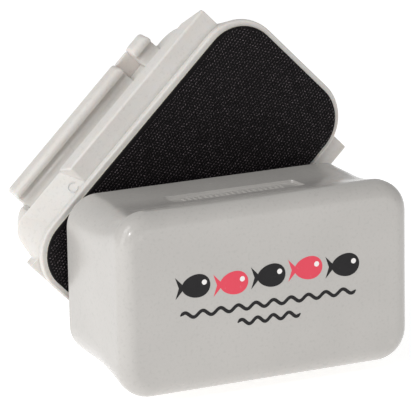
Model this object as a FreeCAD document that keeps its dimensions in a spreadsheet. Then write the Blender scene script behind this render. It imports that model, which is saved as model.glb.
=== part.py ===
"""Magnetic glass cleaner: a dry-side handle and a floating wet-side scrubber.

Frame: X runs to the right along the handle, Y points away from the user, through the glass,
and Z is up. The origin is the centre of the handle's flat front face. Lengths are millimetres.
The wet-side half is drawn level about its own centre, with Y as its depth behind the face of
its pad. Its Placement then turns it about Y and puts it behind the handle.
"""
import FreeCAD, Part
import math
import os
import Sketcher

Vector = FreeCAD.Vector

SIZES = (
    # Handle, on the dry side of the glass
    ("front_face", 0.0, "front face of the handle"),
    ("handle_half_length", 55.0, "handle, half its length along X"),
    ("slab_half_height", 32.8, "front slab of the handle, half its height"),
    ("back_half_height", 29.1, "rear section of the handle, half its height"),
    ("crest_depth", 7.4, "where the grip scoops start, behind the front face"),
    ("scoop_end", 32.6, "where the grip scoops run out into the rear section"),
    ("handle_depth", 48.6, "front face to the rim of the handle"),
    ("handle_corner", 11.4, "corner radius of the handle seen from the front"),
    ("front_round", 5.5, "rounding of the front face's edge"),
    ("front_wall", 3.2, "handle front wall"),
    ("cavity_half_length", 52.6, "handle cavity, half its length"),
    ("cavity_half_height", 26.7, "handle cavity, half its height"),
    ("cavity_corner", 8.8, "handle cavity corner radius"),
    ("label_half_length", 25.0, "recessed panel on top of the handle, half its length"),
    ("label_front", 21.5, "recessed panel, front edge"),
    ("label_back", 32.0, "recessed panel, back edge"),
    ("label_floor", 28.2, "recessed panel, height of its floor"),
    ("above_handle", 40.0, "clear height above the handle"),
    ("cover_half_length", 52.5, "rear cover plate, half its length"),
    ("cover_half_height", 26.6, "rear cover plate, half its height"),
    ("cover_corner", 8.7, "rear cover plate corner radius"),
    ("cover_thickness", 2.3, "rear cover plate"),
    ("felt_half_length", 53.6, "felt pad, half its length"),
    ("felt_half_height", 27.7, "felt pad, half its height"),
    ("felt_corner", 9.9, "felt pad corner radius"),
    ("felt_thickness", 1.5, "felt pad"),
    ("dry_magnet_half_length", 14.0, "handle magnet block, half its length"),
    ("dry_magnet_half_height", 19.0, "handle magnet block, half its height"),
    ("dry_magnet_thickness", 9.0, "handle magnet block"),
    ("dry_window_half_length", 14.1, "window for a handle magnet, half its length"),
    ("dry_window_half_height", 19.1, "window for a handle magnet, half its height"),
    ("dry_carrier_half_length", 49.0, "handle magnet carrier, half its length"),
    ("dry_carrier_half_height", 23.0, "handle magnet carrier, half its height"),
    ("dry_yoke_half_length", 46.0, "handle steel yoke, half its length"),
    ("dry_yoke_half_height", 19.0, "handle steel yoke, half its height"),
    ("dry_yoke_thickness", 2.5, "handle steel yoke"),
    ("packer_half_length", 47.0, "handle foam packer, half its length"),
    ("packer_half_height", 21.0, "handle foam packer, half its height"),
    # Shared by both halves
    ("film_thickness", 0.3, "adhesive film under a pad"),
    ("magnet_pitch", 31.0, "centre to centre of neighbouring magnet blocks"),
    ("magnet_chamfer", 0.8, "chamfer on a magnet block's edges"),
    ("carrier_corner", 4.0, "corner radius of the magnet carriers"),
    ("yoke_corner", 2.0, "corner radius of the steel yokes"),
    ("foam_corner", 3.0, "corner radius of the foam blocks"),
    ("seat_gap", 0.1, "clearance between stacked pieces"),
    ("half_gap", 0.3, "gap between the two halves when they are together"),
    # Where the wet-side half sits against the handle
    ("wet_turn", 44.6, "turn of the wet-side half about Y, in degrees"),
    ("wet_centre_x", -4.6, "centre of the wet-side half along X"),
    ("wet_centre_z", 25.6, "centre of the wet-side half above the handle's centre"),
    # Wet-side half
    ("pad_face", 0.0, "front face of the scrub pad"),
    ("pad_half_length", 57.6, "scrub pad, half its length"),
    ("pad_half_height", 30.5, "scrub pad, half its height"),
    ("pad_corner", 14.4, "scrub pad corner radius"),
    ("pad_thickness", 1.8, "scrub pad"),
    ("flange_half_length", 59.6, "wet-side base plate, half its length"),
    ("flange_half_height", 32.6, "wet-side base plate, half its height"),
    ("flange_corner", 16.4, "wet-side base plate corner radius"),
    ("flange_thickness", 2.5, "wet-side base plate"),
    ("rim_front", 4.7, "front of the wet-side housing"),
    ("rim_half_length", 59.2, "housing rim, half its length"),
    ("rim_half_height", 32.2, "housing rim, half its height"),
    ("rim_corner", 16.0, "housing rim corner radius"),
    ("flare_front", 5.2, "where the housing starts to flare out, behind its rim"),
    ("flare_back", 12.0, "where the flare ends"),
    ("flare_start", -54.8, "lower end of the flare's wide edge"),
    ("flare_end", 48.6, "upper end of the flare's wide edge"),
    ("flare_half_height", 39.0, "flare's wide edge, half its height"),
    ("flare_low_corner", 7.2, "corner radius at the lower end of the flare's wide edge"),
    ("flare_high_corner", 18.0, "corner radius at the upper end of the flare's wide edge"),
    ("hull_start", -54.0, "lower end of the housing hull"),
    ("hull_end", 48.6, "upper end of the housing hull"),
    ("hull_half_height", 36.6, "housing hull, half its height"),
    ("hull_front", 11.0, "front of the hull, inside the flare"),
    ("hull_back", 30.2, "back face of the hull"),
    ("hull_low_corner", 12.0, "corner radius of the hull's lower end seen from the front"),
    ("hull_high_corner", 16.0, "corner radius of the hull's upper end seen from the front"),
    ("hull_round", 9.0, "rounding of the hull's back edge"),
    ("end_bar_start", -59.2, "outer face of the bar across the housing's lower end"),
    ("end_bar_end", -50.0, "inner side of the end bar, within the flare"),
    ("end_bar_back", 10.0, "back of the end bar"),
    ("end_bar_half_height", 27.2, "end bar, half its height"),
    ("bar_heel", -27.2, "lower end of the scraper seat bars, at their back"),
    ("bar_start", -24.4, "lower end of the scraper seat bars, at their front"),
    ("bar_slant", 41.0, "where the back of the bars starts to slant towards the upper end"),
    ("bar_end", 48.8, "upper end of the scraper seat bars"),
    ("bar_front", 5.2, "front face of the scraper seat bars"),
    ("bar_back", 12.0, "back of the scraper seat bars"),
    ("bar_tip_back", 7.0, "back of the bars at their upper ends"),
    ("bar_round", 0.8, "rounding of the bars' outer edges"),
    ("bar_inner", 30.0, "inner side of the scraper seat bars, within the hull"),
    ("bar_outer", 40.0, "outer face of the scraper seat bars"),
    ("channel_start", -44.6, "lower end of the blade channel"),
    ("channel_end", 56.0, "upper end of the blade channel, past the hull"),
    ("channel_front", 13.4, "front lip of the blade channel"),
    ("channel_back", 32.0, "clear depth behind the hull"),
    ("channel_floor", 34.2, "floor of the blade channel"),
    ("channel_mouth", 46.0, "clear space outside the blade channel"),
    ("rail_start", -43.0, "lower end of the clip rail"),
    ("rail_end", 16.0, "upper end of the clip rail"),
    ("lug_start", 22.3, "lower end of the clip lug"),
    ("lug_end", 30.8, "upper end of the clip lug"),
    ("rail_front", 22.4, "front face of the clip rail, at the back of the blade channel"),
    ("rail_back", 29.4, "back face of the clip rail"),
    ("rail_inner", 30.8, "inner side of the clip rail, within the hull"),
    ("rail_outer", 42.6, "outer face of the clip rail"),
    ("rail_round", 2.2, "rounding of the clips' outer edges"),
    ("lip_inner", 39.4, "inner side of the clips' lips"),
    ("lip_root", 25.8, "deepest place under the lips, where the channel's cove ends"),
    ("cove_start", 20.6, "where the channel's floor starts to curve up to the lips"),
    ("cove_toe", 20.0, "front of the clips' feet, level with the channel's floor"),
    ("web_front", 27.6, "front face of the web that joins the rail and the lug"),
    ("web_back", 29.0, "back face of the web"),
    ("web_outer", 41.6, "outer edge of the web"),
    ("chamber_shift", 2.7, "how far the air chamber's centre lies below the pad's centre"),
    ("chamber_half_length", 48.9, "air chamber, half its length"),
    ("chamber_half_height", 31.2, "air chamber, half its height"),
    ("chamber_ledge", 24.6, "depth where the air chamber narrows, inside the rounded back"),
    ("chamber_back", 27.8, "back of the air chamber"),
    ("narrow_half_length", 44.5, "narrow end of the air chamber, half its length"),
    ("narrow_half_height", 26.8, "narrow end of the air chamber, half its height"),
    ("narrow_corner", 5.2, "narrow end of the air chamber, corner radius"),
    ("chamber_corner", 9.6, "air chamber corner radius"),
    ("seal_half_length", 48.5, "seal ring outline, half its length"),
    ("seal_half_height", 30.8, "seal ring outline, half its height"),
    ("seal_corner", 9.2, "seal ring outline corner radius"),
    ("seal_hole_half_length", 47.0, "seal ring opening, half its length"),
    ("seal_hole_half_height", 29.3, "seal ring opening, half its height"),
    ("seal_hole_corner", 7.7, "seal ring opening corner radius"),
    ("seal_thickness", 1.5, "seal ring"),
    ("wet_magnet_half_length", 12.0, "wet-side magnet block, half its length"),
    ("wet_magnet_half_height", 16.0, "wet-side magnet block, half its height"),
    ("wet_magnet_thickness", 5.0, "wet-side magnet block"),
    ("wet_window_half_length", 12.1, "window for a wet-side magnet, half its length"),
    ("wet_window_half_height", 16.1, "window for a wet-side magnet, half its height"),
    ("wet_carrier_half_length", 44.0, "wet-side magnet carrier, half its length"),
    ("wet_carrier_half_height", 19.5, "wet-side magnet carrier, half its height"),
    ("wet_yoke_half_length", 43.5, "wet-side steel yoke, half its length"),
    ("wet_yoke_half_height", 16.0, "wet-side steel yoke, half its height"),
    ("wet_yoke_thickness", 1.2, "wet-side steel yoke"),
    ("float_half_length", 43.6, "float foam, half its length"),
    ("float_half_height", 25.9, "float foam, half its height"),
)

# The grip scoops narrow along a parabola, level where they meet the rear section.
SCOOP_STEPS = 6

# Depths that follow from the stack of pieces, as expressions
FILM_FRONT = "Sizes.handle_depth"
FELT_FRONT = FILM_FRONT + " + Sizes.film_thickness"
WET_DEPTH = FELT_FRONT + " + Sizes.felt_thickness + Sizes.half_gap"
COVER_FRONT = "Sizes.handle_depth - Sizes.cover_thickness"
DRY_MAGNET_FRONT = COVER_FRONT + " - Sizes.seat_gap - Sizes.dry_magnet_thickness"
DRY_YOKE_FRONT = DRY_MAGNET_FRONT + " - Sizes.seat_gap - Sizes.dry_yoke_thickness"
PACKER_FRONT = "Sizes.front_wall + Sizes.seat_gap"
PACKER_THICKNESS = DRY_YOKE_FRONT + " - 2 * Sizes.seat_gap - Sizes.front_wall"
FLANGE_FRONT = "Sizes.pad_thickness + Sizes.film_thickness"
WET_MAGNET_FRONT = "Sizes.rim_front + Sizes.seat_gap"
WET_YOKE_FRONT = WET_MAGNET_FRONT + " + Sizes.wet_magnet_thickness + Sizes.seat_gap"
FLOAT_FRONT = WET_YOKE_FRONT + " + Sizes.wet_yoke_thickness + Sizes.seat_gap"
FLOAT_THICKNESS = f"Sizes.chamber_back - Sizes.seat_gap - ({FLOAT_FRONT})"

doc = FreeCAD.newDocument("MagneticGlassCleaner")
sheet = doc.addObject("Spreadsheet::Sheet", "Sizes")
chosen_sizes = {alias: value for alias, value, _ in SIZES}
scoop_drop = chosen_sizes["slab_half_height"] - chosen_sizes["back_half_height"]
scoop_heights = tuple(
    (f"scoop_{step}_half_height",
     round(chosen_sizes["back_half_height"] + scoop_drop * (1 - step / SCOOP_STEPS) ** 2, 4),
     f"half height of the handle at step {step} of the grip scoops")
    for step in range(SCOOP_STEPS + 1))
for row, (alias, value, meaning) in enumerate(SIZES + scoop_heights, start=1):
    sheet.set(f"A{row}", meaning)
    sheet.set(f"B{row}", str(value))
    sheet.setAlias(f"B{row}", alias)
doc.recompute()


def size(alias):
    """The value of a named size in the sheet."""
    return float(sheet.get(alias))


def coordinate(text):
    """A sum of named sizes such as 'a - b', as a number and as an expression."""
    value = 0.0
    rule = ""
    sign = "+"
    for word in text.replace("-", " - ").replace("+", " + ").split():
        if word in "+-":
            sign = word
            continue
        value += size(word) if sign == "+" else -size(word)
        rule += f" {sign} Sizes.{word}"
        sign = "+"
    return value, rule.lstrip(" +")


def corners_between(low_x, high_x, low_y, high_y):
    """Corners of a rectangle, from four coordinates."""
    return ((low_x, low_y), (high_x, low_y), (high_x, high_y), (low_x, high_y))


def centred(half_length, half_height, shift=""):
    """Corners of a centred rectangle, from two half sizes and a shift along X."""
    return corners_between(f"{shift} - {half_length}", f"{shift} + {half_length}",
                           "-" + half_height, half_height)


def rounded_ends(low, high, half_height, low_radius, high_radius):
    """A rectangle whose two ends have their own corner radii, and which sides are arcs."""
    near_low, near_high = f"{low} + {low_radius}", f"{high} - {high_radius}"
    bottom, top = "-" + half_height, half_height
    corners = (
        (near_low, bottom),
        (near_high, bottom),
        (high, f"{high_radius} - {half_height}"),
        (high, f"{half_height} - {high_radius}"),
        (near_high, top),
        (near_low, top),
        (low, f"{half_height} - {low_radius}"),
        (low, f"{low_radius} - {half_height}"),
    )
    return corners, {1: 0, 3: 4, 5: 4, 7: 0}


def rounded(half_length, half_height, radius, shift=""):
    """A centred rectangle with rounded corners, and which of its sides are arcs."""
    return rounded_ends(f"{shift} - {half_length}", f"{shift} + {half_length}",
                        half_height, radius, radius)


def cove(start, end, flat):
    """An arc from start to end that is level at the corner `flat`.

    It gives the arc, which runs anticlockwise, and whether it begins at start.
    """
    other = end if flat is start else start
    rise = other.y - flat.y
    radius = (flat - other).Length ** 2 / (2 * rise)
    centre = flat + Vector(0, radius, 0)
    angles = [math.atan2(point.y - centre.y, point.x - centre.x) for point in (start, end)]
    forwards = math.sin(angles[1] - angles[0]) > 0
    first, last = angles if forwards else reversed(angles)
    circle = Part.Circle(centre, Vector(0, 0, 1), abs(radius))
    return Part.ArcOfCircle(circle, first, last), forwards


def outline(body, name, role, corners, offset=None, coves=None):
    """A closed profile on one of the body's planes, each corner pinned to named sizes.

    offset is an expression for the distance along the plane's normal. coves gives the sides
    that are arcs, each with the neighbouring straight side that it is tangent to.
    """
    sketch = body.newObject("Sketcher::SketchObject", name)
    plane = next(f for f in body.Origin.OriginFeatures if f.Role == role)
    sketch.AttachmentSupport = [(plane, "")]
    sketch.MapMode = "FlatFace"
    if offset:
        sketch.setExpression("AttachmentOffset.Base.z", offset)
    places = [(coordinate(across), coordinate(up)) for across, up in corners]
    points = [Vector(x, y, 0) for (x, _), (y, _) in places]
    coves = coves or {}
    ends = []
    for index, start in enumerate(points):
        end = points[(index + 1) % len(points)]
        if index in coves:
            flat = end if coves[index] == (index + 1) % len(points) else start
            side, forwards = cove(start, end, flat)
        else:
            side, forwards = Part.LineSegment(start, end), True
        sketch.addGeometry(side, False)
        ends.append((1, 2) if forwards else (2, 1))
    for index, (_, finish) in enumerate(ends):
        after = (index + 1) % len(ends)
        smooth = coves.get(index) == after or coves.get(after) == index
        kind = "Tangent" if smooth else "Coincident"
        sketch.addConstraint(
            Sketcher.Constraint(kind, index, finish, after, ends[after][0]))
    for index, ((x, x_rule), (y, y_rule)) in enumerate(places):
        for kind, value, rule in (("DistanceX", x, x_rule), ("DistanceY", y, y_rule)):
            pin = Sketcher.Constraint(kind, -1, 1, index, ends[index][0], value)
            sketch.setExpression(f"Constraints[{sketch.addConstraint(pin)}]", rule)
    return sketch


def new_body(label):
    """An empty body that becomes one piece."""
    body = doc.addObject("PartDesign::Body", label)
    body.Label = label
    return body


def grow(kind, sketch, length, reverse=False):
    """Pad or pocket a sketch by an expression's length; one that changes nothing is an error."""
    body = sketch.getParentGeoFeatureGroup()
    before = body.Tip.Shape.Volume if body.Tip else 0.0
    feature = body.newObject("PartDesign::" + kind, sketch.Label + "_" + kind.lower())
    feature.Profile = sketch
    feature.setExpression("Length", length)
    feature.Reversed = reverse
    doc.recompute()
    change = feature.Shape.Volume - before
    if abs(change) < 0.01 or (kind == "Pad") != (change > 0):
        raise RuntimeError(f"{feature.Label} changed the volume by {change:.3f}")
    return feature


def soften(body, name, radius, chosen, kind="Fillet"):
    """Fillet or chamfer those edges of the body for which chosen(edge) is true."""
    base = body.Tip
    edges = [f"Edge{i}" for i, e in enumerate(base.Shape.Edges, start=1) if chosen(e)]
    if not edges:
        raise RuntimeError(f"{name} found no edges")
    feature = body.newObject("PartDesign::" + kind, name)
    feature.Base = (base, edges)
    feature.setExpression("Radius" if kind == "Fillet" else "Size", radius)
    doc.recompute()
    return feature


def runs_deep(edge):
    """Whether an edge is straight and runs along Y."""
    bounds = edge.BoundBox
    return bounds.YLength > 0.01 and max(bounds.XLength, bounds.ZLength) < 1e-6


def edges_at_depth(depth):
    """A test for edges that lie in a plane across Y."""
    def chosen(edge):
        bounds = edge.BoundBox
        return max(abs(bounds.YMin - depth), abs(bounds.YMax - depth)) < 1e-6
    return chosen


def plate(label, corners, corner_radius, front, thickness):
    """A plate across Y with rounded corners; front and thickness are expressions."""
    body = new_body(label)
    sketch = outline(body, label + "_outline", "XZ_Plane", corners, offset=f"-({front})")
    # The normal of the XZ plane is -Y, so a pad that goes deeper is reversed.
    grow("Pad", sketch, thickness, reverse=True)
    if corner_radius:
        soften(body, label + "_corners", corner_radius, runs_deep)
    return body


def handle_section(body, name, half_height, depth):
    """A rounded rectangle of the handle's length, at a depth given by an expression."""
    corners, arcs = rounded("handle_half_length", half_height, "handle_corner")
    return outline(body, name, "XZ_Plane", corners, offset=f"-({depth})", coves=arcs)


def blend(body, name, stations):
    """A ruled solid through a row of profiles."""
    loft = body.newObject("PartDesign::AdditiveLoft", name)
    loft.Profile = stations[0]
    loft.Sections = stations[1:]
    loft.Ruled = True
    doc.recompute()


def grip_scoops(body):
    """The stretch that narrows in a hollow curve from the front slab to the rear section."""
    stations = []
    for step in range(SCOOP_STEPS + 1):
        depth = f"Sizes.crest_depth + (Sizes.scoop_end - Sizes.crest_depth) * {step}"
        stations.append(handle_section(body, f"scoop_{step}", f"scoop_{step}_half_height",
                                       f"{depth} / {SCOOP_STEPS}"))
    blend(body, "grip_scoops", stations)


def handle_shell():
    """The hollow handle: a front slab, grip scoops above and below, and a rear section."""
    body = new_body("outer_shell")
    slab = handle_section(body, "front_slab", "slab_half_height", "Sizes.front_face")
    grow("Pad", slab, "Sizes.crest_depth", reverse=True)
    soften(body, "handle_front_edge", "Sizes.front_round", edges_at_depth(size("front_face")))
    grip_scoops(body)
    rear = handle_section(body, "rear_section", "back_half_height", "Sizes.scoop_end")
    grow("Pad", rear, "Sizes.handle_depth - Sizes.scoop_end", reverse=True)
    corners, arcs = rounded("cavity_half_length", "cavity_half_height", "cavity_corner")
    cavity = outline(body, "handle_cavity", "XZ_Plane", corners,
                     offset="-Sizes.handle_depth", coves=arcs)
    grow("Pocket", cavity, "Sizes.handle_depth - Sizes.front_wall", reverse=True)
    label = outline(body, "label_panel", "XY_Plane",
                    corners_between("-label_half_length", "label_half_length",
                                    "label_front", "label_back"),
                    offset="Sizes.above_handle")
    grow("Pocket", label, "Sizes.above_handle - Sizes.label_floor")
    return body


def magnet_corners(side, place):
    """Corners of the magnet block, or of its window, at place -1, 0 or 1 along the row."""
    shift = {-1: "-magnet_pitch", 0: "", 1: "magnet_pitch"}[place]
    return centred(side + "_half_length", side + "_half_height", shift)


def magnet_row(half, side, front):
    """Three block magnets and the carrier that keeps them apart."""
    thickness = f"Sizes.{side}_magnet_thickness"
    pieces = []
    carrier = plate(half + "_magnet_carrier",
                    centred(side + "_carrier_half_length", side + "_carrier_half_height"),
                    "Sizes.carrier_corner", front, thickness)
    for name, place in (("left", -1), ("middle", 0), ("right", 1)):
        window = outline(carrier, f"{half}_{name}_window", "XZ_Plane",
                         magnet_corners(side + "_window", place), offset=f"-({front})")
        grow("Pocket", window, thickness)
        block = plate(f"{half}_magnet_{name}", magnet_corners(side + "_magnet", place),
                      None, front, thickness)
        soften(block, f"{half}_{name}_edges", "Sizes.magnet_chamfer", any_edge, "Chamfer")
        pieces.append(block)
    return [carrier] + pieces


def any_edge(edge):
    """Every edge of a block."""
    return True


def outer_edges(distance):
    """A test for the edges round a face that looks up or down, at a distance from the middle."""
    def chosen(edge):
        bounds = edge.BoundBox
        return bounds.ZLength < 1e-6 and abs(abs(bounds.ZMin) - distance) < 1e-6
    return chosen


def hull_and_flare(body):
    """A hull with a rounded back, the seat bars on it, and a flare from the rim to the hull.

    The flare comes after the bars, so that the rounding of their edges ends at its surface.
    """
    corners, arcs = rounded_ends("hull_start", "hull_end", "hull_half_height",
                                 "hull_low_corner", "hull_high_corner")
    hull = outline(body, "hull_outline", "XZ_Plane", corners, offset="-Sizes.hull_front",
                   coves=arcs)
    grow("Pad", hull, "Sizes.hull_back - Sizes.hull_front", reverse=True)
    soften(body, "hull_back_edge", "Sizes.hull_round", edges_at_depth(size("hull_back")))
    seat_bars(body)
    corners, arcs = rounded("rim_half_length", "rim_half_height", "rim_corner")
    mouth = outline(body, "flare_mouth", "XZ_Plane", corners, offset="-Sizes.flare_front",
                    coves=arcs)
    corners, arcs = rounded_ends("flare_start", "flare_end", "flare_half_height",
                                 "flare_low_corner", "flare_high_corner")
    wide_edge = outline(body, "flare_wide_edge", "XZ_Plane", corners,
                        offset="-Sizes.flare_back", coves=arcs)
    blend(body, "flare", [mouth, wide_edge])
    grow("Pad", mouth, "Sizes.flare_front - Sizes.rim_front")


def seat_bars(body):
    """The bars that a scraper blade rests on, along both sides and across the lower end."""
    bar_side = (
        ("bar_start", "bar_front"),
        ("bar_end", "bar_front"),
        ("bar_end", "bar_tip_back"),
        ("bar_slant", "bar_back"),
        ("bar_heel", "bar_back"),
    )
    for name, base in (("upper", "Sizes.bar_inner"), ("lower", "-Sizes.bar_outer")):
        bar = outline(body, name + "_bar", "XY_Plane", bar_side, offset=base)
        grow("Pad", bar, "Sizes.bar_outer - Sizes.bar_inner")
    soften(body, "bar_edges", "Sizes.bar_round", outer_edges(size("bar_outer")))


def clips(body):
    """The rail and the lug that hold a blade's spine under their lips, and a thin web."""
    hooked = (
        ("rail_front", "lip_inner"),
        ("lip_root", "lip_inner"),
        ("cove_start", "channel_floor"),
        ("cove_toe", "channel_floor"),
        ("cove_toe", "rail_inner"),
        ("rail_back", "rail_inner"),
        ("rail_back", "rail_outer"),
        ("rail_front", "rail_outer"),
    )
    for name in ("rail", "lug"):
        clip = outline(body, "clip_" + name, "YZ_Plane", hooked,
                       offset=f"Sizes.{name}_start", coves={1: 2})
        grow("Pad", clip, f"Sizes.{name}_end - Sizes.{name}_start")
    soften(body, "clip_edges", "Sizes.rail_round", outer_edges(size("rail_outer")))
    web = outline(body, "clip_web", "YZ_Plane",
                  corners_between("web_front", "web_back", "rail_inner", "web_outer"),
                  offset="Sizes.rail_end")
    grow("Pad", web, "Sizes.lug_start - Sizes.rail_end")


def housing():
    """The wet-side housing: a rim, a flared hull, seat bars, a blade channel and clips."""
    body = new_body("inner_shell")
    hull_and_flare(body)
    end_bar = outline(body, "end_bar", "XZ_Plane",
                      corners_between("end_bar_start", "end_bar_end",
                                      "-end_bar_half_height", "end_bar_half_height"),
                      offset="-Sizes.bar_front")
    grow("Pad", end_bar, "Sizes.end_bar_back - Sizes.bar_front", reverse=True)
    channel = outline(body, "blade_channel", "YZ_Plane",
                      corners_between("channel_front", "channel_back",
                                      "channel_floor", "channel_mouth"),
                      offset="Sizes.channel_start")
    grow("Pocket", channel, "Sizes.channel_end - Sizes.channel_start", reverse=True)
    clips(body)
    for name, back in (("chamber", "chamber_ledge"), ("narrow", "chamber_back")):
        corners, arcs = rounded(name + "_half_length", name + "_half_height",
                                name + "_corner", "-chamber_shift")
        hollow = outline(body, name + "_outline", "XZ_Plane", corners,
                         offset="-Sizes.rim_front", coves=arcs)
        grow("Pocket", hollow, f"Sizes.{back} - Sizes.rim_front")
    return body


def seal_ring():
    """The rubber ring inside the housing's mouth, under the base plate."""
    front, thickness = "Sizes.rim_front", "Sizes.seal_thickness"
    body = plate("inner_seal_ring",
                 centred("seal_half_length", "seal_half_height", "-chamber_shift"),
                 "Sizes.seal_corner", front, thickness)
    corners, arcs = rounded("seal_hole_half_length", "seal_hole_half_height",
                            "seal_hole_corner", "-chamber_shift")
    opening = outline(body, "seal_opening", "XZ_Plane", corners, offset=f"-({front})",
                      coves=arcs)
    grow("Pocket", opening, thickness)
    return body


def handle_pieces():
    """Every piece of the dry-side half."""
    felt = centred("felt_half_length", "felt_half_height")
    return [
        handle_shell(),
        plate("outer_cover_plate", centred("cover_half_length", "cover_half_height"),
              "Sizes.cover_corner", COVER_FRONT, "Sizes.cover_thickness"),
        plate("outer_adhesive_film", felt, "Sizes.felt_corner", FILM_FRONT,
              "Sizes.film_thickness"),
        plate("outer_felt_pad", felt, "Sizes.felt_corner", FELT_FRONT,
              "Sizes.felt_thickness"),
        plate("outer_steel_yoke", centred("dry_yoke_half_length", "dry_yoke_half_height"),
              "Sizes.yoke_corner", DRY_YOKE_FRONT, "Sizes.dry_yoke_thickness"),
        plate("outer_foam_packer", centred("packer_half_length", "packer_half_height"),
              "Sizes.foam_corner", PACKER_FRONT, PACKER_THICKNESS),
    ] + magnet_row("outer", "dry", DRY_MAGNET_FRONT)


def wet_pieces():
    """Every piece of the wet-side half, drawn level about its own centre."""
    pad = centred("pad_half_length", "pad_half_height")
    return [
        housing(),
        plate("inner_scrub_pad", pad, "Sizes.pad_corner", "Sizes.pad_face",
              "Sizes.pad_thickness"),
        plate("inner_adhesive_film", pad, "Sizes.pad_corner", "Sizes.pad_thickness",
              "Sizes.film_thickness"),
        plate("inner_base_plate", centred("flange_half_length", "flange_half_height"),
              "Sizes.flange_corner", FLANGE_FRONT, "Sizes.flange_thickness"),
        seal_ring(),
        plate("inner_steel_yoke", centred("wet_yoke_half_length", "wet_yoke_half_height"),
              "Sizes.yoke_corner", WET_YOKE_FRONT, "Sizes.wet_yoke_thickness"),
        plate("inner_float_foam",
              centred("float_half_length", "float_half_height", "-chamber_shift"),
              "Sizes.foam_corner", FLOAT_FRONT, FLOAT_THICKNESS),
    ] + magnet_row("inner", "wet", WET_MAGNET_FRONT)


def place_behind_handle(piece):
    """Turn a wet-side piece about Y and put it behind the handle."""
    piece.Placement.Rotation = FreeCAD.Rotation(Vector(0, 1, 0), -size("wet_turn"))
    piece.setExpression("Placement.Base.x", "Sizes.wet_centre_x")
    piece.setExpression("Placement.Base.y", WET_DEPTH)
    piece.setExpression("Placement.Base.z", "Sizes.wet_centre_z")


dry = handle_pieces()
wet = wet_pieces()
for piece in wet:
    place_behind_handle(piece)
doc.recompute()

for item in doc.Objects:
    if "Invalid" in item.State or "Error" in item.State:
        raise RuntimeError(f"{item.Label} did not recompute: {item.State}")
for piece in dry + wet:
    if piece.Shape.isNull() or not piece.Shape.isValid() or len(piece.Shape.Solids) != 1:
        raise RuntimeError(f"{piece.Label} is not one valid solid")

os.makedirs("parts", exist_ok=True)
for piece in dry + wet:
    piece.Shape.exportStep(f"parts/{piece.Label}.step")
    print(f"{piece.Label}: {piece.Shape.Volume / 1000:.1f} cm3")
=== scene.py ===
"""Looks of the magnetic glass cleaner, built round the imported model.

The frame is the model's own: X to the right along the handle, Y away from the user through the
glass, Z up, with the origin on the handle's front face. The wet-side half has a frame of its own:
U along its pad, V across it and W deep behind the face of its pad. Sizes of shapes are in
millimetres, which dry() and wet() turn into the scene's metres. Sizes that act on the model's
own mesh, and those of the looks and the studio, are in metres.
"""
import bmesh
import bpy
import math
import random
from mathutils import Matrix, Vector, noise
from mathutils.bvhtree import BVHTree


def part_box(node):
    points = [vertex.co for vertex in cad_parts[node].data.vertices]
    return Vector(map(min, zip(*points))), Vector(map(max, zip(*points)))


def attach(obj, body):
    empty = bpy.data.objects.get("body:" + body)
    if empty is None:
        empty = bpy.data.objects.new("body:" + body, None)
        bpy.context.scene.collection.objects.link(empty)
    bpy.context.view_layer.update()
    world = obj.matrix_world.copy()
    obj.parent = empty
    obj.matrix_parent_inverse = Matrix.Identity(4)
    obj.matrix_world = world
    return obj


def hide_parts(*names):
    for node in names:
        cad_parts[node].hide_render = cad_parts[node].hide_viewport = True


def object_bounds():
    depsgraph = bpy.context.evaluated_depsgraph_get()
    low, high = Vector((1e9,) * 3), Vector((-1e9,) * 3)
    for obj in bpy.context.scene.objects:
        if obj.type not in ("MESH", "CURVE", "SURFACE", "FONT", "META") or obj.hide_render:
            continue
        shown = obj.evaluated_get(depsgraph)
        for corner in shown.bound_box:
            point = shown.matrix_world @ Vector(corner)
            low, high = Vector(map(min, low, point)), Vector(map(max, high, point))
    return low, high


MM = 0.001
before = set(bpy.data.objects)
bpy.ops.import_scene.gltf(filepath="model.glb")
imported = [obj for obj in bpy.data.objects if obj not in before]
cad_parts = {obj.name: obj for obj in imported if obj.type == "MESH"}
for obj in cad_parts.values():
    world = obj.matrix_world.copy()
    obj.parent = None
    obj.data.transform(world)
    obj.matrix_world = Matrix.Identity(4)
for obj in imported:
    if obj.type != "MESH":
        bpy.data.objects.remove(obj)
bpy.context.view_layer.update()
rng = random.Random(7)

# ---------------------------------------------------------------- places, from the model
shell_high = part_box("outer_shell")[1]
felt_low, felt_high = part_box("outer_felt_pad")
pad_low, pad_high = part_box("inner_scrub_pad")
WET_TURN = math.radians(44.6)
WET_ORIGIN = Vector(((pad_low.x + pad_high.x) / 2, pad_low.y, (pad_low.z + pad_high.z) / 2))
U_AXIS = Vector((math.cos(WET_TURN), 0, math.sin(WET_TURN)))
V_AXIS = Vector((-math.sin(WET_TURN), 0, math.cos(WET_TURN)))
W_AXIS = Vector((0, 1, 0))
half_length = shell_high.x / MM
slab_half = shell_high.z / MM
handle_depth = shell_high.y / MM


def wet(u, v, w):
    """A point of the wet-side half, from its own coordinates in millimetres."""
    return WET_ORIGIN + (U_AXIS * u + V_AXIS * v + W_AXIS * w) * MM


def dry(x, y, z):
    """A point of the handle, from millimetres."""
    return Vector((x, y, z)) * MM


# ---------------------------------------------------------------- mesh helpers
CREASE_ANGLE = math.radians(38)


def new_piece(name, verts, faces, body, material, smooth=True):
    """A mesh piece that rides on a body of the model."""
    mesh = bpy.data.meshes.new(name)
    mesh.from_pydata([tuple(v) for v in verts], [], faces)
    mesh.materials.append(material)
    piece = bpy.data.objects.new(name, mesh)
    bpy.context.scene.collection.objects.link(piece)
    tidy_faces(mesh, smooth)
    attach(piece, body)
    return piece


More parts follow.
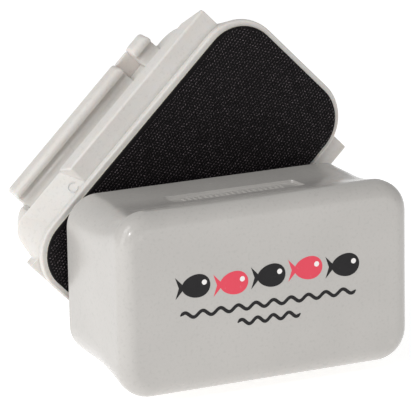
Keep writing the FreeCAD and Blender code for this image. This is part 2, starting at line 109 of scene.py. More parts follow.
def tidy_faces(mesh, smooth):
    """Turn every face outwards, and shade the mesh smooth with creases at sharp edges."""
    work = bmesh.new()
    work.from_mesh(mesh)
    bmesh.ops.recalc_face_normals(work, faces=work.faces)
    for edge in work.edges:
        if len(edge.link_faces) == 2:
            edge.smooth = edge.calc_face_angle(0.0) < CREASE_ANGLE
    for face in work.faces:
        face.smooth = smooth
    work.to_mesh(mesh)
    work.free()


def loop_points(half_x, half_z, radius, sides, corner_steps):
    """Points round a rounded rectangle, anticlockwise from the right end of its top side.

    sides gives, for the top, left, bottom and right side, the fractions from -1 to 1 at which
    the straight stretch has points of its own. The count of points is the same at any size.
    """
    reach_x, reach_z = half_x - radius, half_z - radius
    points = []
    turns = (
        (sides[0], lambda t: (-t * reach_x, half_z), (-1, 1), 90),
        (sides[1], lambda t: (-half_x, -t * reach_z), (-1, -1), 180),
        (sides[2], lambda t: (t * reach_x, -half_z), (1, -1), 270),
        (sides[3], lambda t: (half_x, t * reach_z), (1, 1), 0),
    )
    for fractions, straight, (side_x, side_z), begin in turns:
        points.extend(straight(t) for t in fractions)
        for step in range(corner_steps + 1):
            angle = math.radians(begin + 90 * step / corner_steps)
            points.append((side_x * reach_x + radius * math.cos(angle),
                           side_z * reach_z + radius * math.sin(angle)))
    return points


def loft(sections, place):
    """Vertices and faces of a closed skin through sections of equal point count."""
    verts, faces = [], []
    count = len(sections[0][1])
    for depth, points in sections:
        verts.extend(place(x, depth, z) for x, z in points)
    for ring in range(len(sections) - 1):
        a, b = ring * count, (ring + 1) * count
        for i in range(count):
            j = (i + 1) % count
            faces.append((a + i, a + j, b + j, b + i))
    faces.append(tuple(range(count)))
    faces.append(tuple(range((len(sections) - 1) * count, len(sections) * count)))
    return verts, faces


def even(count):
    """Fractions from -1 to 1, ends left out, because the corners have them."""
    return [-1 + 2 * (i + 1) / (count + 1) for i in range(count)]


def arc_steps(count):
    """One minus the sine, and one minus the cosine, at equal steps through a quarter turn."""
    angles = [math.radians(90 * step / count) for step in range(count + 1)]
    return [(1 - math.sin(angle), 1 - math.cos(angle)) for angle in angles]


def random_vector():
    """A vector of three normally spread random numbers."""
    return Vector((rng.gauss(0, 1), rng.gauss(0, 1), rng.gauss(0, 1)))


def ease(value):
    """A smooth step from 0 to 1."""
    value = min(max(value, 0.0), 1.0)
    return value * value * (3 - 2 * value)


# ---------------------------------------------------------------- material helpers
class Shader:
    """A node material with one Principled shader, and short ways to add nodes to it."""

    def __init__(self, name, **sockets):
        self.material = bpy.data.materials.new(name)
        self.material.use_nodes = True
        self.tree = self.material.node_tree
        self.principled = self.tree.nodes["Principled BSDF"]
        for socket, value in sockets.items():
            self.principled.inputs[socket.replace("_", " ")].default_value = value
        self.place = self.node("ShaderNodeTexCoord").outputs["Object"]

    def node(self, kind, **settings):
        """A new node with its own settings."""
        made = self.tree.nodes.new(kind)
        for key, value in settings.items():
            setattr(made, key, value)
        return made

    def link(self, out, into):
        """Join an output to an input."""
        self.tree.links.new(out, into)

    def stretched(self, scale, turn=0.0):
        """Object coordinates, turned about Y and scaled."""
        mapping = self.node("ShaderNodeMapping")
        self.link(self.place, mapping.inputs["Vector"])
        mapping.inputs["Rotation"].default_value = (0, turn, 0)
        mapping.inputs["Scale"].default_value = scale
        return mapping.outputs["Vector"]

    def noise(self, scale, detail=3.0, roughness=0.55, vector=None):
        """Cloudy noise from 0 to 1."""
        made = self.node("ShaderNodeTexNoise")
        self.link(vector or self.place, made.inputs["Vector"])
        made.inputs["Scale"].default_value = scale
        made.inputs["Detail"].default_value = detail
        made.inputs["Roughness"].default_value = roughness
        return made.outputs["Fac"]

    def cells(self, scale):
        """Distance to the nearest cell of a Voronoi pattern."""
        made = self.node("ShaderNodeTexVoronoi")
        self.link(self.place, made.inputs["Vector"])
        made.inputs["Scale"].default_value = scale
        return made.outputs["Distance"]

    def ramp(self, fac, *stops):
        """A colour that runs through stops, each a position and a colour."""
        made = self.node("ShaderNodeValToRGB")
        self.link(fac, made.inputs["Fac"])
        elements = made.color_ramp.elements
        while len(elements) < len(stops):
            elements.new(0.5)
        for element, (position, colour) in zip(elements, stops):
            element.position = position
            element.color = (*colour, 1)
        return made.outputs["Color"]

    def spread(self, fac, low, high, from_low=0.3, from_high=0.7):
        """A number stretched from one range to another, and held at the ends."""
        made = self.node("ShaderNodeMapRange")
        self.link(fac, made.inputs["Value"])
        for name, value in (("From Min", from_low), ("From Max", from_high),
                            ("To Min", low), ("To Max", high)):
            made.inputs[name].default_value = value
        return made.outputs["Result"]

    def mix(self, fac, one, two, blend_type="MIX"):
        """Two colours mixed by a factor."""
        made = self.node("ShaderNodeMix", data_type="RGBA", blend_type=blend_type)
        for socket, value in ((made.inputs["Factor"], fac), (made.inputs["A"], one),
                              (made.inputs["B"], two)):
            self.feed(socket, value)
        return made.outputs["Result"]

    def maths(self, operation, one, two):
        """A sum or product of two numbers."""
        made = self.node("ShaderNodeMath", operation=operation)
        self.feed(made.inputs[0], one)
        self.feed(made.inputs[1], two)
        return made.outputs["Value"]

    def feed(self, socket, value):
        """Link an output to a socket, or set the socket to a colour or a number."""
        if isinstance(value, bpy.types.NodeSocket):
            self.link(value, socket)
        elif isinstance(value, tuple):
            socket.default_value = (*value, 1)
        else:
            socket.default_value = value

    def bump(self, height, distance):
        """Fine relief of the surface, of a given depth in metres."""
        made = self.node("ShaderNodeBump")
        self.link(height, made.inputs["Height"])
        made.inputs["Distance"].default_value = distance
        made.inputs["Strength"].default_value = 1.0
        self.link(made.outputs["Normal"], self.principled.inputs["Normal"])

    def worn_edges(self):
        """How sharp the surface is here, from 0 on flats to 1 on worn edges."""
        sharp = self.node("ShaderNodeNewGeometry").outputs["Pointiness"]
        return self.spread(sharp, 0.0, 1.0, 0.50, 0.62)

    def paint(self, socket, value):
        """Link an output to one of the shader's own sockets."""
        self.link(value, self.principled.inputs[socket])


def srgb(r, g, b):
    """A colour given as 0 to 255 sRGB, in the shader's linear light."""
    return tuple((c / 255 / 12.92) if c <= 10 else ((c / 255 + 0.055) / 1.055) ** 2.4
                 for c in (r, g, b))


def moulded_plastic(name, colour, shade, gloss, subsurface=0.0):
    """Moulded plastic: faint flow marks, fine texture, hairline scratches and worn edges."""
    s = Shader(name, IOR=1.49)
    s.principled.inputs["Subsurface Weight"].default_value = subsurface
    s.principled.inputs["Subsurface Radius"].default_value = (0.0030, 0.0018, 0.0012)
    s.principled.inputs["Subsurface Scale"].default_value = 1.0
    flow = s.noise(26, 4, 0.5)
    base = s.ramp(flow, (0.35, shade), (0.62, colour))
    speck = s.ramp(s.noise(900, 2), (0.30, (0.93, 0.93, 0.93)), (0.46, (1, 1, 1)))
    tinted = s.mix(1.0, base, speck, "MULTIPLY")
    wear = s.maths("MULTIPLY", s.worn_edges(), s.spread(s.noise(240, 3), 0.0, 0.5))
    light = tuple(min(1.0, c * 1.18) for c in colour)
    s.paint("Base Color", s.mix(wear, tinted, light))
    smear = s.spread(s.noise(60, 5, 0.65), gloss - 0.06, gloss + 0.08)
    scratch_place = s.stretched((220, 1400, 90), 0.5)
    scratches = s.spread(s.noise(1.0, 2, 0.7, scratch_place), 0.0, 0.04, 0.62, 0.76)
    s.paint("Roughness", s.maths("ADD", smear, scratches))
    grain = s.maths("ADD", s.noise(1500, 2), s.maths("MULTIPLY", s.noise(160, 2), 1.5))
    s.bump(grain, 0.00002)
    return s.material


def hook_fabric(name, dark, tip, root_depth, tip_depth):
    """Hook fabric: black at the roots, with patches of painted highlight that lighten the hook tips.
    """
    s = Shader(name, IOR=1.45, Specular_IOR_Level=0.2)
    split = s.node("ShaderNodeSeparateXYZ")
    s.link(s.place, split.inputs["Vector"])
    # Painted highlight: towards the hook tips, in noisy patches, the black is lightened to the pale
    # tip colour, as if the tips caught the light.
    height = s.spread(split.outputs["Y"], 0.0, 1.0, root_depth, tip_depth)
    highlight_patch = s.spread(s.noise(900, 3, 0.7), 0.10, 1.0, 0.42, 0.66)
    s.paint("Base Color", s.mix(s.maths("MULTIPLY", height, highlight_patch), dark, tip))
    s.paint("Roughness", s.spread(s.noise(900, 2), 0.40, 0.70))
    s.bump(s.noise(2600, 2), 0.00004)
    return s.material


def felt(name, dark, light):
    """Pressed felt: mottled wool with fine fibres lying every way."""
    s = Shader(name, Roughness=0.95, Sheen_Weight=0.5, Sheen_Roughness=0.6)
    s.principled.inputs["Sheen Tint"].default_value = (*light, 1)
    fibres = s.noise(1.0, 4, 0.7, s.stretched((900, 1400, 2600), 0.9))
    cross = s.noise(1.0, 4, 0.7, s.stretched((2600, 1400, 900), 0.4))
    tangle = s.maths("MULTIPLY", s.maths("ADD", fibres, cross), 0.5)
    s.paint("Base Color", s.ramp(tangle, (0.35, dark), (0.65, light)))
    s.bump(tangle, 0.00012)
    return s.material


def foam(name, colour, shade):
    """Foam: a skin of small bubbles."""
    s = Shader(name, Roughness=0.85)
    bubbles = s.cells(700)
    s.paint("Base Color", s.ramp(bubbles, (0.0, shade), (0.7, colour)))
    s.bump(bubbles, 0.0002)
    return s.material


def ferrite(name):
    """Sintered magnet block: dark, granular and dull, with ground faces."""
    s = Shader(name, Roughness=0.6, Metallic=0.25)
    s.paint("Base Color", s.ramp(s.noise(1400, 4), (0.3, srgb(38, 38, 42)), (0.7, srgb(70, 70, 74))))
    s.bump(s.noise(1800, 3), 0.00003)
    return s.material


def rolled_steel(name):
    """Cold-rolled strip: brushed along its length, with a few darker stains."""
    s = Shader(name, Metallic=1.0)
    brushed = s.noise(1.0, 3, 0.6, s.stretched((60, 2400, 2400)))
    stains = s.noise(45, 4)
    steel = s.ramp(brushed, (0.35, srgb(150, 152, 156)), (0.65, srgb(196, 198, 202)))
    s.paint("Base Color", s.mix(s.spread(stains, 0.0, 0.35, 0.5, 0.7), steel, srgb(120, 104, 90)))
    s.paint("Roughness", s.spread(brushed, 0.25, 0.45))
    s.bump(brushed, 0.00001)
    return s.material


def adhesive(name):
    """Double-sided tape: milky film with a faint scrim."""
    s = Shader(name, IOR=1.45)
    scrim = s.noise(1.0, 2, 0.5, s.stretched((1500, 300, 1500)))
    s.paint("Base Color", s.ramp(scrim, (0.4, srgb(196, 190, 172)), (0.6, srgb(222, 218, 204))))
    s.paint("Roughness", s.spread(scrim, 0.3, 0.5))
    return s.material


def rubber(name):
    """Moulded seal rubber: matt black with a bloom."""
    s = Shader(name, IOR=1.52)
    bloom = s.noise(120, 4)
    s.paint("Base Color", s.ramp(bloom, (0.4, srgb(28, 28, 28)), (0.75, srgb(58, 57, 55))))
    s.paint("Roughness", s.spread(bloom, 0.5, 0.75))
    s.bump(s.noise(1600, 2), 0.00002)
    return s.material


def ink(name, colour, worn):
    """Pad-printed ink: even and slightly glossy, and rubbed thin in places."""
    s = Shader(name, IOR=1.5, Specular_IOR_Level=0.25)
    rub = s.spread(s.noise(520, 5, 0.7), 0.0, 0.55, 0.60, 0.74)
    s.paint("Base Color", s.mix(rub, colour, worn))
    s.paint("Roughness", s.spread(s.noise(260, 3), 0.32, 0.5))
    s.bump(s.noise(1800, 2), 0.000006)
    return s.material


GREY = srgb(189, 186, 182)
CREAM = srgb(218, 215, 211)
handle_plastic = moulded_plastic("handle_plastic_look", GREY, srgb(184, 181, 177), 0.19)
float_plastic = moulded_plastic("float_plastic_look", CREAM, srgb(212, 208, 203), 0.34,
                                subsurface=0.25)
cover_plastic = moulded_plastic("cover_plastic_look", srgb(120, 122, 126),
                                srgb(110, 112, 116), 0.42)
carrier_plastic = moulded_plastic("carrier_plastic_look", srgb(70, 72, 76),
                                  srgb(62, 64, 68), 0.45)

# ---------------------------------------------------------------- handle
CREST = 7.4
SCOOP_END = 32.6
BACK_HALF_HEIGHT = 29.1
HANDLE_CORNER = 11.4
FRONT_ROUND = 5.5
RIM_ROUND = 0.5
CAVITY = (52.6, 26.7, 8.8)
FRONT_WALL = 3.2
LABEL = {"half": 25.0, "front": 21.5, "back": 32.0, "floor": 28.2, "corner": 1.4, "wall": 0.22}
RIB = {"pitch": 2.1, "width": 1.0, "height": 0.5, "front": 24.4, "back": 29.4, "count": 19,
       "wall": 0.3}
CREST_SOFTENING = (-0.24, -0.12, 0.0, 0.12, 0.24)
# Insets of the front face's rings, from near its middle to near its rounded edge
FACE_INSETS = (21, 17, 13, 9, 5, 2.5, 1.0, 0.3)
# Stretches of the outside, each with its first and last depth and the pitch of its sections
STRETCHES = ((5.9, 7.0, 0.4), (7.1, 7.7, 0.12), (7.9, 9.3, 0.4), (9.8, 21.2, 0.9),
             (21.35, 21.65, 0.1), (21.8, 31.7, 0.33), (31.85, 32.15, 0.1), (32.4, 48.0, 1.6))


def handle_half_height(depth):
    """Half the handle's height, with the crest softened over half a millimetre."""
    def sharp(at):
        share = min(max((at - CREST) / (SCOOP_END - CREST), 0.0), 1.0)
        return BACK_HALF_HEIGHT + (slab_half - BACK_HALF_HEIGHT) * (1 - share) ** 2
    return sum(sharp(depth + reach) for reach in CREST_SOFTENING) / len(CREST_SOFTENING)


def inside_box(x, y, low_x, high_x, low_y, high_y, corner):
    """Signed distance into a rectangle with rounded corners, positive inside."""
    dx = abs(x - (low_x + high_x) / 2) - (high_x - low_x) / 2 + corner
    dy = abs(y - (low_y + high_y) / 2) - (high_y - low_y) / 2 + corner
    outside = math.hypot(max(dx, 0.0), max(dy, 0.0)) + min(max(dx, dy), 0.0)
    return corner - outside


def label_surface(x, depth, z):
    """Height of the handle's top where the recessed panel and its grip ribs are."""
    into = inside_box(x, depth, -LABEL["half"], LABEL["half"], LABEL["front"], LABEL["back"],
                      LABEL["corner"])
    sunk = ease(into / LABEL["wall"] + 0.5)
    z += (LABEL["floor"] - z) * sunk
    column = round(x / RIB["pitch"])
    if abs(column) <= RIB["count"] // 2:
        across = x - column * RIB["pitch"]
        rib = inside_box(across, depth, -RIB["width"] / 2, RIB["width"] / 2, RIB["front"],
                         RIB["back"], RIB["width"] / 2)
        z += RIB["height"] * ease(rib / RIB["wall"] + 0.4)
    return z


def handle_sections():
    """The handle's skin from the middle of its face, over the outside, and back up inside."""
    label_reach = LABEL["half"] + 1.0
    label_share = label_reach / (half_length - HANDLE_CORNER)
    fine = [label_share * t for t in even(230)]
    coarse = [label_share + (1 - label_share) * t for t in (0.15, 0.4, 0.65, 0.9)]
    top = [-t for t in reversed(coarse)] + fine + coarse
    sides = (top, even(14), even(24), even(14))
    steps = 12

    def section(depth, inset, outer=True, half_z=None):
        high = handle_half_height(depth) if half_z is None else half_z
        points = loop_points(half_length - inset, high - inset,
                             max(HANDLE_CORNER - inset, 0.5), sides, steps)
        if outer and LABEL["front"] - 1 < depth < LABEL["back"] + 1:
            points = [(x, label_surface(x, depth, z)) if z > high - 0.01 else (x, z)
                      for x, z in points]
        return depth, points

    sections = [section(0.0, FRONT_ROUND + extra, False, slab_half) for extra in FACE_INSETS]
    for inward, deeper in arc_steps(12):
        sections.append(section(FRONT_ROUND * deeper, FRONT_ROUND * inward, False, slab_half))
    for begin, end, pitch in STRETCHES:
        count = max(round((end - begin) / pitch), 1)
        sections.extend(section(begin + (end - begin) * i / count, 0.0)
                        for i in range(count + 1))
    for short_of_rim, inward in arc_steps(3):
        sections.append(section(handle_depth - RIM_ROUND * short_of_rim, RIM_ROUND * inward))
    half_x, half_z, corner = CAVITY
    # Depths and insets of the rings that lead down the inside to the front wall
    inside = ((handle_depth, -0.35), (handle_depth - 0.12, -0.08), (handle_depth - 0.45, 0.0),
              (30.0, 0.0), (FRONT_WALL + 2.0, 0.0), (FRONT_WALL + 0.5, 0.5),
              (FRONT_WALL, 2.0), (FRONT_WALL, 12.0), (FRONT_WALL, 21.0))
    for depth, inset in inside:
        sections.append((depth, loop_points(half_x - inset, half_z - inset,
                                            max(corner - inset, 0.5), sides, steps)))
    return sections


def make_handle():
    """The handle's shell, with its face, scoops, recessed panel, rim and hollow."""
    verts, faces = loft(handle_sections(), dry)
    shell = new_piece("handle_shell", verts, faces, "outer_half", handle_plastic)
    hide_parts("outer_shell")


# ---------------------------------------------------------------- print on the handle's face
INK_PROUD = 0.03
INK_SUNK = 0.02
FISH_SIZE = (13.4, 9.0)
FISH_PLACES = (-28.5, -14.2, 0.0, 14.2, 28.5)
EYE_PLACE = (4.2, 1.0)
EYE_RADIUS = 0.95
EYE_LIFT = 0.012
FISH_LEVEL = 5.6
FISH_BOB = 0.7
RIPPLE_WIDTH = 1.25
RIPPLE_SWING = 0.95
black_ink = ink("black_ink_look", srgb(24, 22, 24), srgb(70, 66, 66))
coral_ink = ink("coral_ink_look", srgb(226, 74, 92), srgb(214, 130, 136))
white_ink = ink("white_ink_look", srgb(240, 236, 234), srgb(222, 218, 214))


def printed(name, outlines, material, lift=0.0):
    """Flat printed shapes on the handle's face, each from an outline of (x, z) points."""
    verts, faces = [], []
    for points in outlines:
        start, count = len(verts), len(points)
        verts.extend(dry(x, -INK_PROUD - lift, z) for x, z in points)
        verts.extend(dry(x, INK_SUNK, z) for x, z in points)
        faces.append(tuple(range(start, start + count)))
        faces.append(tuple(range(start + count, start + 2 * count)))
        for i in range(count):
            j = (i + 1) % count
            faces.append((start + i, start + j, start + count + j, start + count + i))
    piece = new_piece(name, verts, faces, "outer_half", material, smooth=False)


def disc(x, z, radius):
    """Points round a circle."""
    count = 28
    return [(x + radius * math.cos(2 * math.pi * i / count),
             z + radius * math.sin(2 * math.pi * i / count)) for i in range(count)]


def fish(x, z, length, height):
    """A plain fish that swims to the right: a rounded body and a forked tail."""
    points = []
    for step in range(-20, 21):
        angle = math.radians(8.1 * step)
        points.append((x + 0.08 * length + 0.40 * length * math.cos(angle),
                       z + 0.46 * height * math.sin(angle) * (1 + 0.12 * math.cos(angle))))
    tail = ((-0.50, 0.44), (-0.40, 0.0), (-0.50, -0.44))
    return points + [(x + length * across, z + height * up) for across, up in tail]


def ripple(begin, end, z, width, swing, wavelength):
    """A wavy line with narrowed ends."""
    count = round((end - begin) / 0.4)
    crests, troughs = [], []
    for i in range(count + 1):
        x = begin + (end - begin) * i / count
        turn = 2 * math.pi * (x - begin) / wavelength
        slope = swing * 2 * math.pi / wavelength * math.cos(turn)
        scale = width / 2 / math.hypot(1, slope)
        narrow = min(1.0, 0.35 + 0.65 * min(i, count - i) / 2)
        middle = z + swing * math.sin(turn)
        crests.append((x - slope * scale * narrow, middle + scale * narrow))
        troughs.append((x + slope * scale * narrow, middle - scale * narrow))
    return crests + troughs[::-1]


def make_print():
    """A plain aquarium motif: a row of fish over two ripples of water."""
    row = [(x, FISH_LEVEL + FISH_BOB * math.sin(x)) for x in FISH_PLACES]
    black = [fish(x, z, *FISH_SIZE) for x, z in row[::2]]
    coral = [fish(x, z, *FISH_SIZE) for x, z in row[1::2]]
    black.append(ripple(-33.5, 33.5, -4.2, RIPPLE_WIDTH, RIPPLE_SWING, 6.7))
    black.append(ripple(-12.0, 12.0, -9.6, RIPPLE_WIDTH, RIPPLE_SWING, 6.0))
    printed("print_black", black, black_ink)
    printed("print_coral", coral, coral_ink)
    eyes = [disc(x + EYE_PLACE[0], z + EYE_PLACE[1], EYE_RADIUS) for x, z in row]
    printed("print_eyes", eyes, white_ink, EYE_LIFT)


# ---------------------------------------------------------------- felt under the handle
FELT_CORNER = 9.9
FELT_INSETS = (22, 17, 13, 9.5, 7, 5, 3.5, 2.3, 1.4, 0.8, 0.4)
NAP = 0.12
FIBRES = 2600
FACE_FIBRE = 0.18
EDGE_FIBRE = 0.35
FIBRE_HALF_WIDTH = 0.012


def fuzz(anchor, outward, length, width):
    """The four vertices of one short fibre, a thin bent sliver that starts at a point."""
    side = random_vector().cross(outward)
    side.normalize()
    lean = random_vector() * 0.55
    along = (outward + lean).normalized() * length
    bend = side.cross(along) * 0.25
    return (anchor - side * width, anchor + side * width,
            anchor + along * 0.55 + bend * 0.6, anchor + along + bend)


def make_felt():
    """The felt pad: an uneven pressed edge, a napped face and loose fibres."""
    half_x, half_z = felt_high.x / MM, felt_high.z / MM
    front, back = felt_low.y / MM, felt_high.y / MM
    middle = (front + back) / 2
    sides = (even(90), even(40), even(90), even(40))

    def ring(depth, inset):
        return depth, loop_points(half_x - inset, half_z - inset,
                                  max(FELT_CORNER - inset, 0.6), sides, corner_steps=10)

    sections = [ring(front, inset) for inset in FELT_INSETS]
    sections += [ring(front + 0.12, 0.1), ring(middle, 0.0), ring(back - 0.35, 0.05)]
    sections += [ring(back, inset) for inset in reversed(FELT_INSETS)]

    def place(x, depth, z):
        """A point of the pad, with its edge uneven and its napped face a little sunk."""
        point = dry(x, depth, z)
        push = noise.noise(point * 900) * 0.10 + noise.noise(point * 300) * NAP
        if front + 0.05 < depth < back - 0.05:
            return point + Vector((x, 0, z)).normalized() * push * MM
        if depth > middle:
            return point + Vector((0, push - NAP, 0)) * MM
        return point

    verts, faces = loft(sections, place)
    skin, around = len(verts), len(verts) // len(sections)
    for _ in range(FIBRES):
        base = verts[rng.randrange(len(FELT_INSETS) * around, skin)]
        outward = Vector((base.x, 0, base.z)).normalized()
        if base.y > felt_high.y - 0.2 * MM:
            outward = Vector((0, 1, 0))
        start = len(verts)
        length = (FACE_FIBRE if outward.y else EDGE_FIBRE) * MM * (0.5 + rng.random())
        verts.extend(fuzz(base, outward, length, FIBRE_HALF_WIDTH * MM))
        faces.extend(((start, start + 1, start + 2), (start + 1, start + 3, start + 2)))
    look = felt("felt_look", srgb(14, 24, 38), srgb(44, 66, 92))
    pad = new_piece("felt_pad", verts, faces, "outer_half", look)
    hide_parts("outer_felt_pad")


# ---------------------------------------------------------------- wet-side half
PAD = (57.6, 30.5, 14.4)
PAD_THICKNESS = 1.8
PLATE = (59.6, 32.6, 16.4)
PLATE_FRONT = 2.1
PLATE_BACK = 4.6
PLATE_ROUND = 0.7
HOOK_PITCH = 1.08
HOOK_ROOT = 0.75
HOOK_HEIGHT = 0.55
HOOK_HEIGHT_SPREAD = 0.12
HOOK_MIDDLE = 0.3
HOOK_RADIUS = 0.13
HOOK_STRAY = 0.07
HOOK_TURN = 0.45
BARE_BORDER = 0.45


def make_base_plate():
    """The moulded plate that closes the float, with softened edges."""
    half_u, half_v, corner = PLATE
    sides = (even(40), even(24), even(40), even(24))

    def ring(depth, inset):
        return depth, loop_points(half_u - inset, half_v - inset, max(corner - inset, 0.6),
                                  sides, corner_steps=16)

    sections = [ring(PLATE_FRONT, inset) for inset in (22, 14, 8, 4, 2, PLATE_ROUND + 0.2)]
    for inward, deeper in arc_steps(5):
        sections.append(ring(PLATE_FRONT + PLATE_ROUND * deeper, PLATE_ROUND * inward))
    sections += [ring(PLATE_BACK - 0.35, 0.0), ring(PLATE_BACK - 0.1, 0.1),
                 ring(PLATE_BACK, 0.35), ring(PLATE_BACK, 2), ring(PLATE_BACK, 10),
                 ring(PLATE_BACK, 22)]
    verts, faces = loft(sections, wet_place)
    plate = new_piece("base_plate", verts, faces, "inner_half", float_plastic)
    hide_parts("inner_base_plate")


def wet_place(u, depth, v):
    """A point of the wet-side half, with its coordinates in the order that loft gives them."""
    return wet(u, v, depth)


def within(u, v, half_u, half_v, corner):
    """Whether a point lies in a rounded rectangle."""
    return inside_box(u, v, -half_u, half_u, -half_v, half_v, corner) > 0


def add_hook(verts, faces, u, v, lean, height, radius):
    """One nylon hook: a three-sided filament that rises, bends over and comes back down."""
    # Steps along the lean, and depths, from the root over the bend to the tip
    path = ((0.0, HOOK_ROOT + 0.1), (0.02, HOOK_ROOT - 0.55 * height),
            (0.20, HOOK_ROOT - height), (0.46, HOOK_ROOT - 0.92 * height),
            (0.58, HOOK_ROOT - 0.50 * height))
    cos, sin = math.cos(lean), math.sin(lean)
    start = len(verts)
    for index, (along, depth) in enumerate(path):
        before, after = path[max(index - 1, 0)], path[min(index + 1, len(path) - 1)]
        run, rise = after[0] - before[0], after[1] - before[1]
        length = math.hypot(run, rise)
        normal = (-rise / length, run / length)
        for corner in range(3):
            angle = 2 * math.pi * corner / 3
            out, across = radius * math.cos(angle), radius * math.sin(angle)
            reach = along - HOOK_MIDDLE + normal[0] * out
            verts.append(wet(u + reach * cos - across * sin, v + reach * sin + across * cos,
                             depth + normal[1] * out))
    for index in range(len(path) - 1):
        for corner in range(3):
            a = start + index * 3 + corner
            b = start + index * 3 + (corner + 1) % 3
            faces.append((a, b, b + 3, a + 3))
    last = start + (len(path) - 1) * 3
    faces.append((last, last + 1, last + 2))
    faces.append((start + 2, start + 1, start))


def make_scrub_pad():
    """The black hook pad: a woven backing, and rows of nylon hooks that lean by turns."""
    half_u, half_v, corner = PAD
    sides = (even(60), even(30), even(60), even(30))

    def ring(depth, inset):
        return depth, loop_points(half_u - inset, half_v - inset, max(corner - inset, 0.6),
                                  sides, corner_steps=14)

    sections = [ring(HOOK_ROOT, inset) for inset in (22, 16, 11, 7, 4, 2, 1, 0.35)]
    sections += [ring(HOOK_ROOT + 0.12, 0.1), ring(HOOK_ROOT + 0.4, 0.0),
                 ring(PAD_THICKNESS - 0.05, 0.0), ring(PAD_THICKNESS, 0.15)]
    sections += [ring(PAD_THICKNESS, inset) for inset in (1, 4, 10, 22)]
    verts, faces = loft(sections, wet_place)
    rows = int(half_v / HOOK_PITCH)
    columns = int(half_u / HOOK_PITCH)
    for row in range(-rows, rows + 1):
        for column in range(-columns - 1, columns + 1):
            u = (column + 0.5 * (row % 2)) * HOOK_PITCH + rng.gauss(0, HOOK_STRAY)
            v = row * HOOK_PITCH + rng.gauss(0, HOOK_STRAY)
            if not within(u, v, *(size - BARE_BORDER for size in PAD)):
                continue
            lean = (0.0 if row % 2 else math.pi) + rng.gauss(0, HOOK_TURN)
            height = HOOK_HEIGHT + HOOK_HEIGHT_SPREAD * rng.random()
            add_hook(verts, faces, u, v, lean, height, HOOK_RADIUS * rng.uniform(0.8, 1.15))
    # The second colour is the black fibre; the third is the painted highlight on the hook tips.
    look = hook_fabric("hook_fabric_look", srgb(9, 6, 8), srgb(138, 128, 132),
                       WET_ORIGIN.y + 0.5 * MM, WET_ORIGIN.y + 0.1 * MM)
    pad = new_piece("scrub_pad", verts, faces, "inner_half", look)
    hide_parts("inner_scrub_pad")


EDGE_ROUND = 0.0007
ROOM_SHARE = 0.42
STRAY_LIMIT = 0.0003
WELD_DISTANCE = 0.000002
FLAT_ANGLE = math.radians(0.4)
MOULDED_ANGLE = math.radians(28)
RUN_ANGLE = math.radians(35)
SHARING_PASSES = 60


def is_moulded_edge(edge):
    """Whether an edge is sharp enough to be softened."""
    return len(edge.link_faces) == 2 and edge.calc_face_angle() > MOULDED_ANGLE


def room_beside(edge):
    """How wide an edge's rounding may grow before it meets its neighbours' roundings."""
    room = EDGE_ROUND
    for vert in edge.verts:
        along = edge.other_vert(vert).co - vert.co
        for beside in vert.link_edges:
            across = beside.other_vert(vert).co - vert.co
            if beside is not edge and along.length > 0 and across.length > 0:
                spread = math.sin(along.angle(across))
                # An edge that carries on nearly in line takes no room.
                if spread > 0.5:
                    room = min(room, ROOM_SHARE * across.length * spread)
    return room


def weigh_edges(work):
    """Weigh each sharp edge so that its rounding fits; edges in one run share their weight."""
    weight = work.edges.layers.float.new("bevel_weight_edge")
    sharp = {edge: room_beside(edge) for edge in work.edges if is_moulded_edge(edge)}
    for _ in range(SHARING_PASSES):
        changed = False
        for edge in sharp:
            for vert in edge.verts:
                along = edge.other_vert(vert).co - vert.co
                for after in vert.link_edges:
                    if after is edge or after not in sharp:
                        continue
                    turn = along.angle(vert.co - after.other_vert(vert).co)
                    if turn < RUN_ANGLE and sharp[after] < sharp[edge]:
                        sharp[edge] = sharp[after]
                        changed = True
        if not changed:
            break
    for edge, room in sharp.items():
        edge[weight] = room / EDGE_ROUND


def pull_back(rounded, model_mesh):
    """Bring back to the model's surface each point that a rounding has pushed far off it."""
    surface = BVHTree.FromPolygons([vert.co for vert in model_mesh.vertices],
                                   [face.vertices for face in model_mesh.polygons])
    for vert in rounded.vertices:
        nearest, _, _, distance = surface.find_nearest(vert.co)
        if distance > STRAY_LIMIT:
            vert.co = nearest


def make_float_shell():
    """The float's housing: the model's own shape, with every moulded edge softened."""
    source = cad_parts["inner_shell"]
    mesh = source.data.copy()
    work = bmesh.new()
    work.from_mesh(mesh)
    bmesh.ops.remove_doubles(work, verts=work.verts, dist=WELD_DISTANCE)
    bmesh.ops.dissolve_limit(work, angle_limit=FLAT_ANGLE, verts=work.verts, edges=work.edges)
    weigh_edges(work)
    work.to_mesh(mesh)
    work.free()
    mesh.materials.clear()
    mesh.materials.append(float_plastic)
    shell = bpy.data.objects.new("float_shell", mesh)
    bpy.context.scene.collection.objects.link(shell)
    edges = shell.modifiers.new("edges", "BEVEL")
    edges.width = EDGE_ROUND
    edges.segments = 3
    edges.limit_method = "WEIGHT"
    edges.use_clamp_overlap = False
    graph = bpy.context.evaluated_depsgraph_get()
    rounded = bpy.data.meshes.new_from_object(shell.evaluated_get(graph), depsgraph=graph)
    shell.modifiers.clear()
    pull_back(rounded, source.data)
    shell.data = rounded
    tidy_faces(rounded, True)
    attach(shell, "inner_half")
    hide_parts("inner_shell")


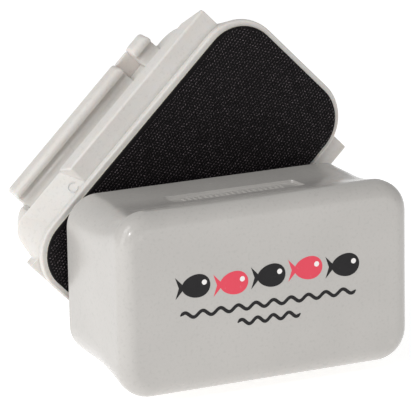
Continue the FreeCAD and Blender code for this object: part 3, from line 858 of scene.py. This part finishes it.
def make_gate_ring():
    """The small open ring that the mould's gate left on the float's rim."""
    centre_u, centre_v, depth = -28.5, 33.7, 6.7
    radius, thickness, proud = 1.75, 0.28, 0.08
    begin, sweep = 20, 300
    slope = math.sqrt(0.5)
    verts, faces = [], []
    around, ring = 26, 8
    for i in range(around + 1):
        turn = math.radians(begin + sweep * i / around)
        for j in range(ring):
            tube = 2 * math.pi * j / ring
            reach = radius + thickness * math.cos(tube)
            out = proud + thickness * math.sin(tube)
            verts.append(wet(centre_u + reach * math.cos(turn),
                             centre_v + (reach * math.sin(turn) + out) * slope,
                             depth + (reach * math.sin(turn) - out) * slope))
    for i in range(around):
        for j in range(ring):
            k = (j + 1) % ring
            faces.append((i * ring + j, i * ring + k, (i + 1) * ring + k, (i + 1) * ring + j))
    faces.append(tuple(range(ring)))
    faces.append(tuple(around * ring + j for j in reversed(range(ring))))
    mark = new_piece("gate_ring", verts, faces, "inner_half", float_plastic)


# ---------------------------------------------------------------- pieces kept from the model
def dress_kept_pieces():
    """Give each piece kept from the model its own material."""
    looks = {
        "outer_cover_plate": cover_plastic,
        "outer_adhesive_film": adhesive("felt_tape_look"),
        "inner_adhesive_film": adhesive("pad_tape_look"),
        "outer_foam_packer": foam("packer_foam_look", srgb(206, 204, 196), srgb(160, 158, 150)),
        "inner_float_foam": foam("float_foam_look", srgb(236, 236, 232), srgb(196, 196, 190)),
        "inner_seal_ring": rubber("seal_rubber_look"),
    }
    magnet, steel = ferrite("ferrite_look"), rolled_steel("rolled_steel_look")
    for half in ("outer", "inner"):
        looks[half + "_magnet_carrier"] = carrier_plastic
        looks[half + "_steel_yoke"] = steel
        for place in ("left", "middle", "right"):
            looks[f"{half}_magnet_{place}"] = magnet
    for node, material in looks.items():
        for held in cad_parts[node].material_slots:
            held.link = "OBJECT"
            held.material = material


# ---------------------------------------------------------------- studio
CAMERA_PLACE = Vector((-0.46713, -0.98936, 0.33321))
CAMERA_TURN = (24.16, 15.44, -1.07)
FOCAL_LENGTH = 290.5664
FLOOR_REACH = 6.0


def make_camera():
    """A long-lens camera, left of the object and above it."""
    turn, tilt, roll = (math.radians(angle) for angle in CAMERA_TURN)
    ahead = Vector((math.sin(turn) * math.cos(tilt), math.cos(turn) * math.cos(tilt),
                    -math.sin(tilt)))
    level = Vector((math.cos(turn), -math.sin(turn), 0))
    above = level.cross(ahead)
    right = level * math.cos(roll) + above * math.sin(roll)
    up = above * math.cos(roll) - level * math.sin(roll)
    lens = bpy.data.cameras.new("studio_camera")
    lens.lens = FOCAL_LENGTH
    lens.clip_start, lens.clip_end = 0.05, 20
    camera = bpy.data.objects.new("studio_camera", lens)
    camera.matrix_world = Matrix((
        (right.x, up.x, -ahead.x, CAMERA_PLACE.x),
        (right.y, up.y, -ahead.y, CAMERA_PLACE.y),
        (right.z, up.z, -ahead.z, CAMERA_PLACE.z),
        (0, 0, 0, 1)))
    bpy.context.scene.collection.objects.link(camera)
    bpy.context.scene.camera = camera


def soft_light(name, place, size, power, aim):
    """A square white softbox of a given size and power that faces a point."""
    lamp = bpy.data.lights.new(name, "AREA")
    lamp.size, lamp.energy = size, power
    held = bpy.data.objects.new(name, lamp)
    held.location = place
    held.rotation_euler = (Vector(aim) - Vector(place)).to_track_quat("-Z", "Y").to_euler()
    bpy.context.scene.collection.objects.link(held)


def make_floor():
    """A plain pale floor under the object."""
    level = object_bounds()[0].z
    mesh = bpy.data.meshes.new("floor")
    corners = ((-1, -1), (1, -1), (1, 1), (-1, 1))
    mesh.from_pydata([(x * FLOOR_REACH, y * FLOOR_REACH, level) for x, y in corners],
                     [], [(0, 1, 2, 3)])
    s = Shader("floor_look", Roughness=0.7, Emission_Color=(1, 1, 1, 1), Emission_Strength=0.55)
    s.paint("Base Color", s.ramp(s.noise(2.0, 2), (0.3, (0.93, 0.93, 0.93)),
                                 (0.7, (0.95, 0.95, 0.95))))
    mesh.materials.append(s.material)
    floor = bpy.data.objects.new("floor", mesh)
    bpy.context.scene.collection.objects.link(floor)


def make_light():
    """Even white surroundings, large softboxes on the left and above, and a small bright one."""
    world = bpy.data.worlds.new("studio")
    world.use_nodes = True
    background = world.node_tree.nodes["Background"]
    background.inputs["Color"].default_value = (1, 1, 1, 1)
    background.inputs["Strength"].default_value = 0.5
    bpy.context.scene.world = world
    soft_light("left_softbox", (-1.0, -0.25, 0.25), 0.5, 1.5, (0, 0, 0))
    soft_light("upper_softbox", (-0.90, -0.10, 0.80), 0.5, 2.9, (0, 0.05, 0.03))
    soft_light("corner_softbox", (-0.64, -0.62, 0.50), 0.10, 1.5, (-0.05, 0, 0.02))


make_handle()
make_print()
make_felt()
make_base_plate()
make_scrub_pad()
make_float_shell()
make_gate_ring()
dress_kept_pieces()
make_camera()
make_floor()
make_light()
bpy.context.scene.view_settings.view_transform = "Standard"
